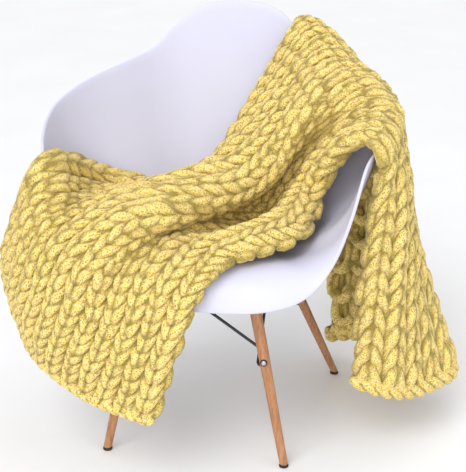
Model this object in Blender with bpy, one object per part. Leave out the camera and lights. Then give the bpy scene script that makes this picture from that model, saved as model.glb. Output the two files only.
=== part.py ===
"""Chunky knit blanket thrown over a plain moulded shell chair. Metres, +Z up, the chair faces -Y."""
import math
import bpy
import bmesh
import numpy as np
from mathutils import Vector
from mathutils.bvhtree import BVHTree

GAP = 0.0003                 # clearance between neighbouring pieces

# ---- seat shell ----
SHELL_T = 0.006              # wall of the moulded shell
PAN = (0.0, 0.030, 0.388)    # lowest point of the seat pan
SHELL_AROUND = 64            # divisions round the rim
SHELL_RINGS = 13             # divisions from the pan to the rim
# Half of the rim from the front lip round to the top of the back; the other half mirrors it.
# x, y, z: rim point. hx, hy, hz: handle that aims the wall as it meets the rim.
# reach: how far out the flat pan runs. lift: rise of the pan toward that side.
RIM_COLUMNS = ("x", "y", "z", "hx", "hy", "hz", "reach", "lift")
RIM = (
    (0.000, -0.262, 0.358, 0.000, 0.027, 0.117, 0.50, 0.020),
    (0.130, -0.258, 0.362, -0.005, 0.028, 0.113, 0.50, 0.020),
    (0.215, -0.235, 0.385, -0.020, 0.028, 0.080, 0.52, 0.018),
    (0.262, -0.195, 0.440, -0.045, 0.020, -0.005, 0.55, 0.012),
    (0.290, -0.150, 0.520, -0.034, 0.010, -0.095, 0.60, 0.006),
    (0.308, -0.105, 0.596, -0.030, 0.006, -0.150, 0.62, 0.003),
    (0.321, -0.060, 0.615, -0.032, 0.004, -0.160, 0.63, 0.000),
    (0.331, 0.000, 0.631, -0.036, 0.000, -0.170, 0.64, 0.000),
    (0.328, 0.052, 0.648, -0.036, -0.010, -0.175, 0.65, 0.000),
    (0.305, 0.103, 0.667, -0.032, -0.028, -0.185, 0.66, 0.000),
    (0.268, 0.153, 0.685, -0.026, -0.042, -0.190, 0.67, 0.000),
    (0.218, 0.205, 0.703, -0.020, -0.052, -0.195, 0.68, 0.000),
    (0.172, 0.250, 0.723, -0.014, -0.058, -0.200, 0.68, 0.000),
    (0.130, 0.283, 0.767, -0.010, -0.062, -0.210, 0.68, 0.000),
    (0.076, 0.304, 0.807, -0.005, -0.064, -0.215, 0.68, 0.000),
    (0.000, 0.312, 0.818, 0.000, -0.065, -0.220, 0.68, 0.000),
)

# ---- wooden legs, right-hand pair; the left pair mirrors them ----
LEG_SIDES = 20
LEG_R_TOP = 0.0125
LEG_R_FOOT = 0.0085
LEG_COLUMNS = ("name", "top_x", "top_y", "top_z", "foot_x", "foot_y")
LEGS = (
    ("front", 0.099, -0.151, 0.398, 0.180, -0.195),
    ("rear", 0.119, 0.047, 0.380, 0.240, 0.205),
)
GLIDE_H = 0.005
GLIDE_R = 0.0095
BOLT_Z = 0.218               # height of the bolt through each leg
BOLT_R = 0.0062
BOLT_LEN = 0.004
BOLT_SIDES = 12

# ---- steel base ----
ROD_R = 0.003
ROD_SIDES = 10
STRUT_INSET = (0.0165, 0.0290)   # rods of one crossed pair, inward of the leg axes
STRUT_DROP = 0.022           # side rods sit this much lower than the front and back ones
PAD_R = 0.016                # rubber mounts between the leg tops and the shell
PAD_SIDES = 16

# ---- blanket ----
BLANKET_T = 0.026            # thickness of the knitted cloth
BLANKET_CLEAR = 0.004        # least gap kept between cloth and shell
RIM_CLEAR = 0.008            # extra gap where the cloth turns over the rim
STITCH_ROWS = 44.0           # rows from the left hem to the right hem
ALONG = 60                   # divisions from hem to hem
ACROSS = 36                  # divisions from edge to edge
RELAX = 4                    # smoothing passes over the draped sheet
FOLD_R = 0.026               # no fold of the middle surface is tighter than this
FOLD_PASSES = 60
SQUEEZE = 9                  # passes that let the cloth press thinner inside a tight fold
# Places along the blanket and the stitch row that lies there.
STATIONS = (
    ("left hem", 0.0),
    ("left fall low", 3.6),
    ("left fall high", 6.8),
    ("over left side", 9.6),
    ("inside left side", 11.8),
    ("seat left", 14.0),
    ("seat middle", 18.0),
    ("seat right", 20.5),
    ("right wall low", 23.0),
    ("right wall high", 26.0),
    ("over right rim", 30.0),
    ("right fall high", 33.4),
    ("right fall low", 38.7),
    ("right hem", 44.0),
)
# One table for each line that runs the length of the blanket, a row for each station: x, y, z.
LINE_COLUMNS = ("x", "y", "z")
NEAR_EDGE = (
    (-0.055, -0.310, 0.135),
    (-0.015, -0.308, 0.250),
    (0.015, -0.300, 0.345),
    (0.040, -0.270, 0.410),
    (0.068, -0.243, 0.434),
    (0.095, -0.215, 0.446),
    (0.160, -0.170, 0.450),
    (0.205, -0.115, 0.456),
    (0.217, -0.010, 0.474),
    (0.249, -0.007, 0.562),
    (0.310, -0.078, 0.640),
    (0.322, -0.086, 0.530),
    (0.302, -0.096, 0.345),
    (0.295, -0.100, 0.145),
)
STRIP = (
    (-0.113, -0.312, 0.155),
    (-0.083, -0.312, 0.255),
    (-0.055, -0.304, 0.348),
    (-0.028, -0.276, 0.412),
    (0.004, -0.226, 0.442),
    (0.035, -0.172, 0.456),
    (0.108, -0.112, 0.476),
    (0.153, -0.055, 0.490),
    (0.172, 0.008, 0.516),
    (0.205, 0.005, 0.588),
    (0.318, -0.036, 0.648),
    (0.360, -0.058, 0.540),
    (0.362, -0.080, 0.345),
    (0.365, -0.100, 0.122),
)
TROUGH = (
    (-0.163, -0.306, 0.168),
    (-0.138, -0.308, 0.256),
    (-0.114, -0.302, 0.338),
    (-0.082, -0.277, 0.410),
    (-0.050, -0.212, 0.446),
    (-0.012, -0.142, 0.439),
    (0.058, -0.047, 0.418),
    (0.108, 0.008, 0.416),
    (0.152, 0.045, 0.458),
    (0.208, 0.055, 0.540),
    (0.322, 0.012, 0.658),
    (0.372, -0.020, 0.545),
    (0.390, -0.048, 0.335),
    (0.405, -0.070, 0.104),
)
TUCK = (
    (-0.208, -0.292, 0.185),
    (-0.186, -0.300, 0.262),
    (-0.160, -0.297, 0.338),
    (-0.130, -0.274, 0.408),
    (-0.100, -0.200, 0.452),
    (-0.066, -0.112, 0.461),
    (0.008, 0.004, 0.458),
    (0.058, 0.048, 0.464),
    (0.105, 0.080, 0.505),
    (0.168, 0.085, 0.594),
    (0.318, 0.058, 0.670),
    (0.374, 0.030, 0.548),
    (0.400, 0.000, 0.335),
    (0.445, -0.035, 0.100),
)
RIDGE = (
    (-0.262, -0.262, 0.205),
    (-0.246, -0.290, 0.280),
    (-0.215, -0.297, 0.356),
    (-0.180, -0.284, 0.420),
    (-0.132, -0.250, 0.466),
    (-0.084, -0.210, 0.494),
    (0.022, -0.108, 0.510),
    (0.086, -0.034, 0.520),
    (0.138, 0.014, 0.556),
    (0.184, 0.038, 0.634),
    (0.300, 0.104, 0.682),
    (0.360, 0.085, 0.575),
    (0.408, 0.060, 0.345),
    (0.505, 0.045, 0.100),
)
CROWN = (
    (-0.318, -0.195, 0.208),
    (-0.310, -0.242, 0.292),
    (-0.286, -0.254, 0.375),
    (-0.244, -0.242, 0.450),
    (-0.192, -0.200, 0.488),
    (-0.140, -0.150, 0.520),
    (-0.030, -0.022, 0.542),
    (0.036, 0.045, 0.560),
    (0.090, 0.095, 0.612),
    (0.142, 0.135, 0.680),
    (0.236, 0.168, 0.732),
    (0.302, 0.205, 0.640),
    (0.388, 0.172, 0.360),
    (0.462, 0.150, 0.085),
)
VALLEY = (
    (-0.352, -0.120, 0.215),
    (-0.364, -0.176, 0.325),
    (-0.338, -0.196, 0.425),
    (-0.289, -0.186, 0.512),
    (-0.260, -0.098, 0.506),
    (-0.230, 0.010, 0.480),
    (-0.092, 0.082, 0.470),
    (-0.004, 0.128, 0.522),
    (0.052, 0.175, 0.604),
    (0.106, 0.206, 0.692),
    (0.178, 0.232, 0.778),
    (0.240, 0.290, 0.680),
    (0.318, 0.276, 0.390),
    (0.350, 0.238, 0.075),
)
FAR_EDGE = (
    (-0.368, -0.050, 0.230),
    (-0.400, -0.100, 0.350),
    (-0.366, -0.135, 0.460),
    (-0.305, -0.132, 0.602),
    (-0.274, -0.030, 0.572),
    (-0.245, 0.075, 0.520),
    (-0.128, 0.130, 0.465),
    (-0.042, 0.166, 0.482),
    (0.022, 0.215, 0.580),
    (0.074, 0.248, 0.685),
    (0.138, 0.286, 0.796),
    (0.182, 0.338, 0.690),
    (0.208, 0.322, 0.390),
    (0.210, 0.278, 0.040),
)


def clear_scene():
    for ob in list(bpy.data.objects):
        bpy.data.objects.remove(ob, do_unlink=True)


def material(name, color, rough, metal=0.0):
    mat = bpy.data.materials.new(name)
    mat.use_nodes = True
    bsdf = mat.node_tree.nodes["Principled BSDF"]
    bsdf.inputs["Base Color"].default_value = (*color, 1.0)
    bsdf.inputs["Roughness"].default_value = rough
    bsdf.inputs["Metallic"].default_value = metal
    return mat


def add_object(name, verts, faces, mat, smooth=True):
    mesh = bpy.data.meshes.new(name)
    mesh.from_pydata([tuple(float(c) for c in v) for v in verts], [], faces)
    mesh.validate()
    bm = bmesh.new()
    bm.from_mesh(mesh)
    bmesh.ops.recalc_face_normals(bm, faces=bm.faces)
    bm.to_mesh(mesh)
    bm.free()
    for poly in mesh.polygons:
        poly.use_smooth = smooth
    ob = bpy.data.objects.new(name, mesh)
    bpy.context.collection.objects.link(ob)
    mesh.materials.append(mat)
    return ob


def catmull(points, t, closed=False):
    """Point at parameter t (one unit per control point) on a Catmull-Rom curve."""
    pts = np.asarray(points, float)
    n = len(pts)
    if closed:
        i = int(math.floor(t)) % n
        f = t - math.floor(t)
        p0, p1, p2, p3 = (pts[(i + k) % n] for k in (-1, 0, 1, 2))
    else:
        i = min(int(math.floor(t)), n - 2)
        f = t - i
        p1 = pts[i]
        p2 = pts[i + 1]
        p0 = pts[i - 1] if i > 0 else 2.0 * p1 - p2
        p3 = pts[i + 2] if i + 2 < n else 2.0 * p2 - p1
    a = 2.0 * p1
    b = p2 - p0
    c = 2.0 * p0 - 5.0 * p1 + 4.0 * p2 - p3
    d = 3.0 * p1 - p0 - 3.0 * p2 + p3
    return 0.5 * (a + b * f + c * f * f + d * f ** 3)


def rim_rows():
    """The whole rim, from the front lip by the right side to the back and home by the left."""
    half = [list(row) for row in RIM]
    other = []
    for row in half[-2:0:-1]:
        mirrored = list(row)
        mirrored[0] = -row[0]
        mirrored[3] = -row[3]
        other.append(mirrored)
    return np.array(half + other)


def shell_point(rows, around, up):
    """Point of the shell's inner face: around in 0..1 round the rim, up in 0..1 from pan to rim."""
    row = catmull(rows, around * len(rows), closed=True)
    pan = np.array(PAN)
    rim = row[0:3]
    out = np.array([rim[0] - pan[0], rim[1] - pan[1], 0.0])
    near = pan + out * row[6] + np.array([0.0, 0.0, row[7]])
    far = rim + row[3:6]
    w = 1.0 - up
    return w ** 3 * pan + 3 * w * w * up * near + 3 * w * up * up * far + up ** 3 * rim


def shell_sheet(around_n, ring_n):
    """Inner face of the shell as a pole vertex and rings of quads."""
    rows = rim_rows()
    verts = [np.array(PAN)]
    for j in range(1, ring_n + 1):
        for i in range(around_n):
            verts.append(shell_point(rows, i / around_n, (j / ring_n) ** 0.8))
    faces = []
    for i in range(around_n):
        faces.append((0, 1 + i, 1 + (i + 1) % around_n))
    for j in range(1, ring_n):
        a = 1 + (j - 1) * around_n
        b = 1 + j * around_n
        for i in range(around_n):
            k = (i + 1) % around_n
            faces.append((a + i, b + i, b + k, a + k))
    return np.array(verts), faces


def sheet_normals(verts, faces):
    """Area-weighted vertex normals of a sheet, up and inward on the shell."""
    normals = np.zeros_like(verts)
    for face in faces:
        p = verts[list(face)]
        n = np.cross(p[2] - p[0], p[-1] - p[1]) if len(face) == 4 else np.cross(p[1] - p[0], p[2] - p[0])
        for v in face:
            normals[v] += n
    return normals / np.linalg.norm(normals, axis=1)[:, None]


def thicken(verts, faces, normals, front, back):
    """Closed solid between the sheet moved by front and by back along its normals."""
    n = len(verts)
    top = verts + normals * front
    low = verts + normals * back
    solid = [tuple(f) for f in faces]
    solid += [tuple(v + n for v in reversed(f)) for f in faces]
    edges = {}
    for f in faces:
        for a, b in zip(f, f[1:] + f[:1]):
            edges[(a, b)] = edges.get((a, b), 0) + 1
    for a, b in edges:
        if (b, a) not in edges:
            solid.append((b, a, a + n, b + n))
    return np.vstack([top, low]), solid


def build_shell(mat):
    verts, faces = shell_sheet(SHELL_AROUND, SHELL_RINGS)
    normals = sheet_normals(verts, faces)
    solid, solid_faces = thicken(verts, faces, normals, 0.0, -SHELL_T)
    return add_object("shell", solid, solid_faces, mat)


def frame_of(axis):
    axis = np.asarray(axis, float) / np.linalg.norm(axis)
    side = np.cross(axis, (0.0, 1.0, 0.0) if abs(axis[1]) < 0.9 else (1.0, 0.0, 0.0))
    side /= np.linalg.norm(side)
    return side, np.cross(axis, side)


def tube(name, start, end, r_start, r_end, sides, mat, flat_ends=False):
    """Closed tapered rod; flat_ends keeps both end faces level instead of square to the rod."""
    start = np.asarray(start, float)
    end = np.asarray(end, float)
    u, v = ((1.0, 0.0, 0.0), (0.0, 1.0, 0.0)) if flat_ends else frame_of(end - start)
    u = np.asarray(u)
    v = np.asarray(v)
    verts = []
    for centre, radius in ((start, r_start), (end, r_end)):
        for i in range(sides):
            a = 2.0 * math.pi * i / sides
            verts.append(centre + radius * (math.cos(a) * u + math.sin(a) * v))
    faces = [(i, (i + 1) % sides, sides + (i + 1) % sides, sides + i) for i in range(sides)]
    faces.append(tuple(reversed(range(sides))))
    faces.append(tuple(range(sides, 2 * sides)))
    ob = add_object(name, verts, faces, mat)
    for poly in ob.data.polygons:
        poly.use_smooth = len(poly.vertices) == 4
    return ob


def leg_line(row, side):
    """Axis of one leg: its top and foot centres."""
    _, tx, ty, tz, fx, fy = row
    return np.array([side * tx, ty, tz]), np.array([side * fx, fy, GLIDE_H + GAP])


def on_leg(row, side, z):
    top, foot = leg_line(row, side)
    return foot + (top - foot) * (z - foot[2]) / (top[2] - foot[2])


def leg_name(row, side):
    return row[0] + ("_right" if side > 0 else "_left")


def build_legs(wood, rubber, steel):
    for row in LEGS:
        for side in (1, -1):
            top, foot = leg_line(row, side)
            name = leg_name(row, side)
            tube("leg_" + name, foot, top, LEG_R_FOOT, LEG_R_TOP, LEG_SIDES, wood, flat_ends=True)
            low = np.array([foot[0], foot[1], 0.0])
            high = np.array([foot[0], foot[1], GLIDE_H])
            tube("glide_" + name, low, high, GLIDE_R, GLIDE_R, LEG_SIDES, rubber, flat_ends=True)
            build_bolt(row, side, steel)
            build_pad(name, top, rubber)


def build_pad(name, leg_top, mat):
    """Rubber mount from a leg's top up to the underside of the shell."""
    verts, faces = shell_sheet(SHELL_AROUND, SHELL_RINGS)
    under = verts - sheet_normals(verts, faces) * SHELL_T
    tree = BVHTree.FromPolygons([Vector(v) for v in under], faces)
    low = []
    high = []
    for i in range(PAD_SIDES):
        a = 2.0 * math.pi * i / PAD_SIDES
        x = leg_top[0] + PAD_R * math.cos(a)
        y = leg_top[1] + PAD_R * math.sin(a)
        roof = tree.ray_cast(Vector((x, y, leg_top[2])), Vector((0.0, 0.0, 1.0)))[0].z
        low.append((x, y, leg_top[2] + GAP))
        high.append((x, y, roof - 2.0 * GAP))
    middle = tree.ray_cast(Vector(leg_top), Vector((0.0, 0.0, 1.0)))[0].z - 3.0 * GAP
    verts = low + high + [(leg_top[0], leg_top[1], middle)]
    n = PAD_SIDES
    faces = [(i, (i + 1) % n, n + (i + 1) % n, n + i) for i in range(n)]
    faces.append(tuple(reversed(range(n))))
    faces += [(n + i, n + (i + 1) % n, 2 * n) for i in range(n)]
    add_object("mount_" + name, verts, faces, mat, smooth=False)


def build_bolt(row, side, steel):
    """Bolt head on the outer face of a leg."""
    centre = on_leg(row, side, BOLT_Z)
    top, foot = leg_line(row, side)
    axis = (top - foot) / np.linalg.norm(top - foot)
    out = np.array([0.0, -1.0 if row[0] == "front" else 1.0, 0.0])
    out = out - axis * out.dot(axis)
    out /= np.linalg.norm(out)
    radius = LEG_R_FOOT + (LEG_R_TOP - LEG_R_FOOT) * BOLT_Z / row[3]
    start = centre + out * (radius + 2.0 * GAP)
    end = start + out * BOLT_LEN
    tube("bolt_" + leg_name(row, side), start, end, BOLT_R, BOLT_R * 0.8, BOLT_SIDES, steel)


def strut_ends(row_a, side_a, row_b, side_b, inset, drop):
    """Rod from beside the bolt of leg a to just under the top of leg b, inside the leg frame."""
    low = on_leg(row_a, side_a, BOLT_Z + 0.010 - drop)
    high = on_leg(row_b, side_b, row_b[3] - 0.014 - drop)
    along = (high - low) / np.linalg.norm(high - low)
    inward = np.array([-along[1], along[0], 0.0])
    inward /= np.linalg.norm(inward)
    if inward.dot(np.array([0.0, -0.03, 0.0]) - 0.5 * (low + high)) < 0.0:
        inward = -inward
    return low + inward * inset + along * 0.004, high + inward * inset - along * 0.004


def build_struts(mat):
    front, rear = LEGS
    spans = (
        ("front", front, 1, front, -1, 0.0),
        ("back", rear, 1, rear, -1, 0.0),
        ("right", front, 1, rear, 1, STRUT_DROP),
        ("left", front, -1, rear, -1, STRUT_DROP),
    )
    for label, row_a, side_a, row_b, side_b, drop in spans:
        low, high = strut_ends(row_a, side_a, row_b, side_b, STRUT_INSET[0], drop)
        tube("strut_" + label + "_a", low, high, ROD_R, ROD_R, ROD_SIDES, mat)
        low, high = strut_ends(row_b, side_b, row_a, side_a, STRUT_INSET[1], drop)
        tube("strut_" + label + "_b", low, high, ROD_R, ROD_R, ROD_SIDES, mat)


def section(lines, t_along):
    """Control points of the cross-section at a place along the blanket."""
    return np.array([catmull(line, t_along) for line in lines])


def even_section(points, count):
    """The cross-section's curve as count + 1 points evenly spaced by length."""
    dense = np.array([catmull(points, k / 16.0) for k in range(16 * (len(points) - 1) + 1)])
    steps = np.linalg.norm(np.diff(dense, axis=0), axis=1)
    length = np.concatenate([[0.0], np.cumsum(steps)])
    at = np.linspace(0.0, length[-1], count + 1)
    return np.stack([np.interp(at, length, dense[:, k]) for k in range(3)], axis=1)


def drape(along_n, across_n):
    """Middle surface of the blanket as an array: stitch rows by places across."""
    lines = (NEAR_EDGE, STRIP, TROUGH, TUCK, RIDGE, CROWN, VALLEY, FAR_EDGE)
    stitch = [row for _, row in STATIONS]
    grid = []
    for j in range(along_n + 1):
        t = float(np.interp(STITCH_ROWS * j / along_n, stitch, range(len(stitch))))
        grid.append(even_section(section(lines, t), across_n))
    return np.array(grid)


def relax(grid):
    """One smoothing pass; hems and edges only move along themselves."""
    out = grid.copy()
    out[1:-1, 1:-1] = 0.5 * grid[1:-1, 1:-1] + 0.125 * (
        grid[:-2, 1:-1] + grid[2:, 1:-1] + grid[1:-1, :-2] + grid[1:-1, 2:])
    for edge in (0, -1):
        out[edge, 1:-1] = 0.5 * grid[edge, 1:-1] + 0.25 * (grid[edge, :-2] + grid[edge, 2:])
        out[1:-1, edge] = 0.5 * grid[1:-1, edge] + 0.25 * (grid[:-2, edge] + grid[2:, edge])
    return out


def soften_folds(grid):
    """Ease any place that bends tighter than the least fold radius, across and along."""
    for axis in (1, 0):
        g = np.swapaxes(grid, 0, axis) if axis else grid.copy()
        before = g[:-2]
        here = g[1:-1]
        after = g[2:]
        step = 0.5 * (np.linalg.norm(here - before, axis=2) + np.linalg.norm(after - here, axis=2))
        bend = 0.5 * (before + after) - here
        size = np.maximum(np.linalg.norm(bend, axis=2), 1e-9)
        excess = np.maximum(size - step * step / (2.0 * FOLD_R), 0.0)
        moved = g.copy()
        moved[1:-1] = here + bend * (0.45 * excess / size)[..., None]
        grid = np.swapaxes(moved, 0, axis) if axis else moved
    return grid


def push_off(grid, shell_tree, distance):
    """Move points that are nearer to the shell's middle than distance away from it."""
    out = grid.reshape(-1, 3).copy()
    rim_face = SHELL_AROUND * (SHELL_RINGS - 2)
    for k, p in enumerate(out):
        spot, _, face, near = shell_tree.find_nearest(Vector(p))
        keep = distance + (RIM_CLEAR if face >= rim_face else 0.0)
        if near < keep:
            away = (p - np.array(spot)) / max(near, 1e-6)
            out[k] = np.array(spot) + away * keep
    return out.reshape(grid.shape)


def grid_faces(rows, cols):
    faces = []
    for j in range(rows - 1):
        for i in range(cols - 1):
            a = j * cols + i
            faces.append((a, a + 1, a + cols + 1, a + cols))
    return faces


def shell_middle_tree():
    verts, faces = shell_sheet(SHELL_AROUND, SHELL_RINGS)
    middle = verts - sheet_normals(verts, faces) * SHELL_T * 0.5
    return BVHTree.FromPolygons([Vector(v) for v in middle], faces)


def draped_sheet(along_n, across_n):
    tree = shell_middle_tree()
    keep = 0.5 * SHELL_T + 0.5 * BLANKET_T + BLANKET_CLEAR
    grid = drape(along_n, across_n)
    for _ in range(RELAX):
        grid = push_off(relax(grid), tree, keep)
    for k in range(FOLD_PASSES):
        grid = soften_folds(grid)
        if k % 5 == 4:
            grid = push_off(grid, tree, keep)
    return grid


def build_blanket(mat):
    grid = draped_sheet(ALONG, ACROSS)
    verts = grid.reshape(-1, 3)
    faces = grid_faces(ALONG + 1, ACROSS + 1)
    normals = sheet_normals(verts, faces).reshape(grid.shape)
    for _ in range(SQUEEZE):
        normals = relax(normals)
    normals = normals.reshape(-1, 3)
    solid, solid_faces = thicken(verts, faces, normals, 0.5 * BLANKET_T, -0.5 * BLANKET_T)
    return add_object("blanket", solid, solid_faces, mat)


def centre_on_floor():
    """Put the middle of everything's bounding box over the origin; the feet already stand on z = 0."""
    meshes = [ob.data for ob in bpy.data.objects]
    points = np.array([v.co[:] for mesh in meshes for v in mesh.vertices])
    middle = 0.5 * (points.min(axis=0) + points.max(axis=0))
    for mesh in meshes:
        for v in mesh.vertices:
            v.co.x -= middle[0]
            v.co.y -= middle[1]


def main():
    clear_scene()
    plastic = material("moulded_plastic", (0.86, 0.85, 0.90), 0.35)
    wood = material("beech", (0.62, 0.36, 0.20), 0.5)
    steel = material("bright_steel", (0.60, 0.60, 0.62), 0.3, 1.0)
    black = material("black_steel", (0.02, 0.02, 0.02), 0.4)
    rubber = material("rubber", (0.05, 0.05, 0.05), 0.8)
    knit = material("yellow_knit", (0.80, 0.62, 0.16), 0.9)
    build_shell(plastic)
    build_legs(wood, rubber, steel)
    build_struts(black)
    build_blanket(knit)
    centre_on_floor()


main()
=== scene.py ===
"""Chunky knit blanket over a shell chair: the knitted yarn, the finishes, the light and the camera."""
import math

import bpy
import numpy as np
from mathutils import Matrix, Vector
from mathutils.bvhtree import BVHTree
from mathutils.kdtree import KDTree


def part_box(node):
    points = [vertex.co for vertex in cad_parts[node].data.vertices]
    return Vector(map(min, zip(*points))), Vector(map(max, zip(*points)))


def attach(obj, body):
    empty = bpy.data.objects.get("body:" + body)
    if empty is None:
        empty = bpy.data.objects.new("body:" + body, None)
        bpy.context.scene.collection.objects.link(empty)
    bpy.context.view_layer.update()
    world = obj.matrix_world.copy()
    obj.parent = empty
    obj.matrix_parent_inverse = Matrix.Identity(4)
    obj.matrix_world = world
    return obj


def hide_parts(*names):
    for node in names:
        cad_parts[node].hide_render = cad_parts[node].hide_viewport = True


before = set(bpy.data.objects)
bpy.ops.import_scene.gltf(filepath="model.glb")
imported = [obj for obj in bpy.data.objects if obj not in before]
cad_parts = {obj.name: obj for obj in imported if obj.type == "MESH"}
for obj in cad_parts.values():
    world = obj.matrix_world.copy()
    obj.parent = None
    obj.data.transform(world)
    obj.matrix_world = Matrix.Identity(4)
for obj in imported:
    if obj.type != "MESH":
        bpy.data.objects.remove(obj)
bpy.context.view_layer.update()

bl_info = {
    "name": "Chunky Knit Blanket",
    "version": (1, 0, 0),
    "blender": (4, 5, 0),
    "location": "View3D > Sidebar > Knit",
    "description": "Knits a thick chenille blanket over a moulded shell chair",
    "category": "Object",
}

SHELL_LOW, SHELL_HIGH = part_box("shell")
# How far the shell reaches behind the origin of the chair's own frame.
SHELL_BACK = 0.31776
# The step from the chair's own frame to the part's.
SHIFT = np.array([0.5 * (SHELL_LOW[0] + SHELL_HIGH[0]), SHELL_HIGH[1] - SHELL_BACK, 0.0])

# ---- sizes, in the chair's own frame

SHELL_T = 0.006
# The lowest point of the shell's inner face.
PAN = (0.0, 0.030, 0.388)
# Half of the rim from the front lip to the top of the back: the rim point, the step to the handle
# that aims the wall below it, and the reach and lift of the handle at the pan.
RIM = (
    (0.000, -0.262, 0.358, 0.000, 0.027, 0.117, 0.50, 0.020),
    (0.130, -0.258, 0.362, -0.005, 0.028, 0.113, 0.50, 0.020),
    (0.215, -0.235, 0.385, -0.020, 0.028, 0.080, 0.52, 0.018),
    (0.262, -0.195, 0.440, -0.045, 0.020, -0.005, 0.55, 0.012),
    (0.290, -0.150, 0.520, -0.034, 0.010, -0.095, 0.60, 0.006),
    (0.308, -0.105, 0.596, -0.030, 0.006, -0.150, 0.62, 0.003),
    (0.321, -0.060, 0.615, -0.032, 0.004, -0.160, 0.63, 0.000),
    (0.331, 0.000, 0.631, -0.036, 0.000, -0.170, 0.64, 0.000),
    (0.328, 0.052, 0.648, -0.036, -0.010, -0.175, 0.65, 0.000),
    (0.305, 0.103, 0.667, -0.032, -0.028, -0.185, 0.66, 0.000),
    (0.268, 0.153, 0.685, -0.026, -0.042, -0.190, 0.67, 0.000),
    (0.218, 0.205, 0.703, -0.020, -0.052, -0.195, 0.68, 0.000),
    (0.172, 0.250, 0.723, -0.014, -0.058, -0.200, 0.68, 0.000),
    (0.130, 0.283, 0.767, -0.010, -0.062, -0.210, 0.68, 0.000),
    (0.076, 0.304, 0.807, -0.005, -0.064, -0.215, 0.68, 0.000),
    (0.000, 0.312, 0.818, 0.000, -0.065, -0.220, 0.68, 0.000),
)
# Legs of the right side: name, top x, y, z, and foot x, y.
LEGS = (
    ("front", 0.099, -0.151, 0.398, 0.180, -0.195),
    ("rear", 0.119, 0.047, 0.380, 0.240, 0.205),
)
CLOTH_T = 0.026
# Free space kept between cloth and shell, and what is added to it at the rim.
CLOTH_CLEAR = 0.004
RIM_CLEAR = 0.008
# The least radius of the cloth's folds, and the share of a sharper bend that one pass takes out.
FOLD_R = 0.026
FOLD_EASE = 0.45
REST_PASSES = 4
FOLD_PASSES = 60
FOLDS_PER_REST = 5
NORMAL_PASSES = 6
# Cells of the cloth, and of the coarse shell that it rests on.
GRID_ALONG = 60
GRID_ACROSS = 36
COARSE_AROUND = 64
COARSE_RINGS = 13
# Rings of the shell crowd towards the rim by this power.
RING_POWER = 0.8
# The stitch rows that lie at the stations along the blanket: left hem, left fall twice, over the
# left side, inside it, seat three times, right wall twice, over the rim, right fall twice, right hem.
STATIONS = (0.0, 3.6, 6.8, 9.6, 11.8, 14.0, 18.0, 20.5, 23.0, 26.0, 30.0, 33.4, 38.7, 44.0)
# The lines that run along the blanket from its near to its far edge, with x, y, z at each station.
NEAR_EDGE = (
    (-0.055, -0.310, 0.135),
    (-0.015, -0.308, 0.250),
    (0.015, -0.300, 0.345),
    (0.040, -0.270, 0.410),
    (0.068, -0.243, 0.434),
    (0.095, -0.215, 0.446),
    (0.160, -0.170, 0.450),
    (0.205, -0.115, 0.456),
    (0.217, -0.010, 0.474),
    (0.249, -0.007, 0.562),
    (0.310, -0.078, 0.640),
    (0.322, -0.086, 0.530),
    (0.302, -0.096, 0.345),
    (0.295, -0.100, 0.145),
)
STRIP = (
    (-0.113, -0.312, 0.155),
    (-0.083, -0.312, 0.255),
    (-0.055, -0.304, 0.348),
    (-0.028, -0.276, 0.412),
    (0.004, -0.226, 0.442),
    (0.035, -0.172, 0.456),
    (0.108, -0.112, 0.476),
    (0.153, -0.055, 0.490),
    (0.172, 0.008, 0.516),
    (0.205, 0.005, 0.588),
    (0.318, -0.036, 0.648),
    (0.360, -0.058, 0.540),
    (0.362, -0.080, 0.345),
    (0.365, -0.100, 0.122),
)
TROUGH = (
    (-0.163, -0.306, 0.168),
    (-0.138, -0.308, 0.256),
    (-0.114, -0.302, 0.338),
    (-0.082, -0.277, 0.410),
    (-0.050, -0.212, 0.446),
    (-0.012, -0.142, 0.439),
    (0.058, -0.047, 0.418),
    (0.108, 0.008, 0.416),
    (0.152, 0.045, 0.458),
    (0.208, 0.055, 0.540),
    (0.322, 0.012, 0.658),
    (0.372, -0.020, 0.545),
    (0.390, -0.048, 0.335),
    (0.405, -0.070, 0.104),
)
TUCK = (
    (-0.208, -0.292, 0.185),
    (-0.186, -0.300, 0.262),
    (-0.160, -0.297, 0.338),
    (-0.130, -0.274, 0.408),
    (-0.100, -0.200, 0.452),
    (-0.066, -0.112, 0.461),
    (0.008, 0.004, 0.458),
    (0.058, 0.048, 0.464),
    (0.105, 0.080, 0.505),
    (0.168, 0.085, 0.594),
    (0.318, 0.058, 0.670),
    (0.374, 0.030, 0.548),
    (0.400, 0.000, 0.335),
    (0.445, -0.035, 0.100),
)
RIDGE = (
    (-0.262, -0.262, 0.205),
    (-0.246, -0.290, 0.280),
    (-0.215, -0.297, 0.356),
    (-0.180, -0.284, 0.420),
    (-0.132, -0.250, 0.466),
    (-0.084, -0.210, 0.494),
    (0.022, -0.108, 0.510),
    (0.086, -0.034, 0.520),
    (0.138, 0.014, 0.556),
    (0.184, 0.038, 0.634),
    (0.300, 0.104, 0.682),
    (0.360, 0.085, 0.575),
    (0.408, 0.060, 0.345),
    (0.505, 0.045, 0.100),
)
CROWN = (
    (-0.318, -0.195, 0.208),
    (-0.310, -0.242, 0.292),
    (-0.286, -0.254, 0.375),
    (-0.244, -0.242, 0.450),
    (-0.192, -0.200, 0.488),
    (-0.140, -0.150, 0.520),
    (-0.030, -0.022, 0.542),
    (0.036, 0.045, 0.560),
    (0.090, 0.095, 0.612),
    (0.142, 0.135, 0.680),
    (0.236, 0.168, 0.732),
    (0.302, 0.205, 0.640),
    (0.388, 0.172, 0.360),
    (0.462, 0.150, 0.085),
)
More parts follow.
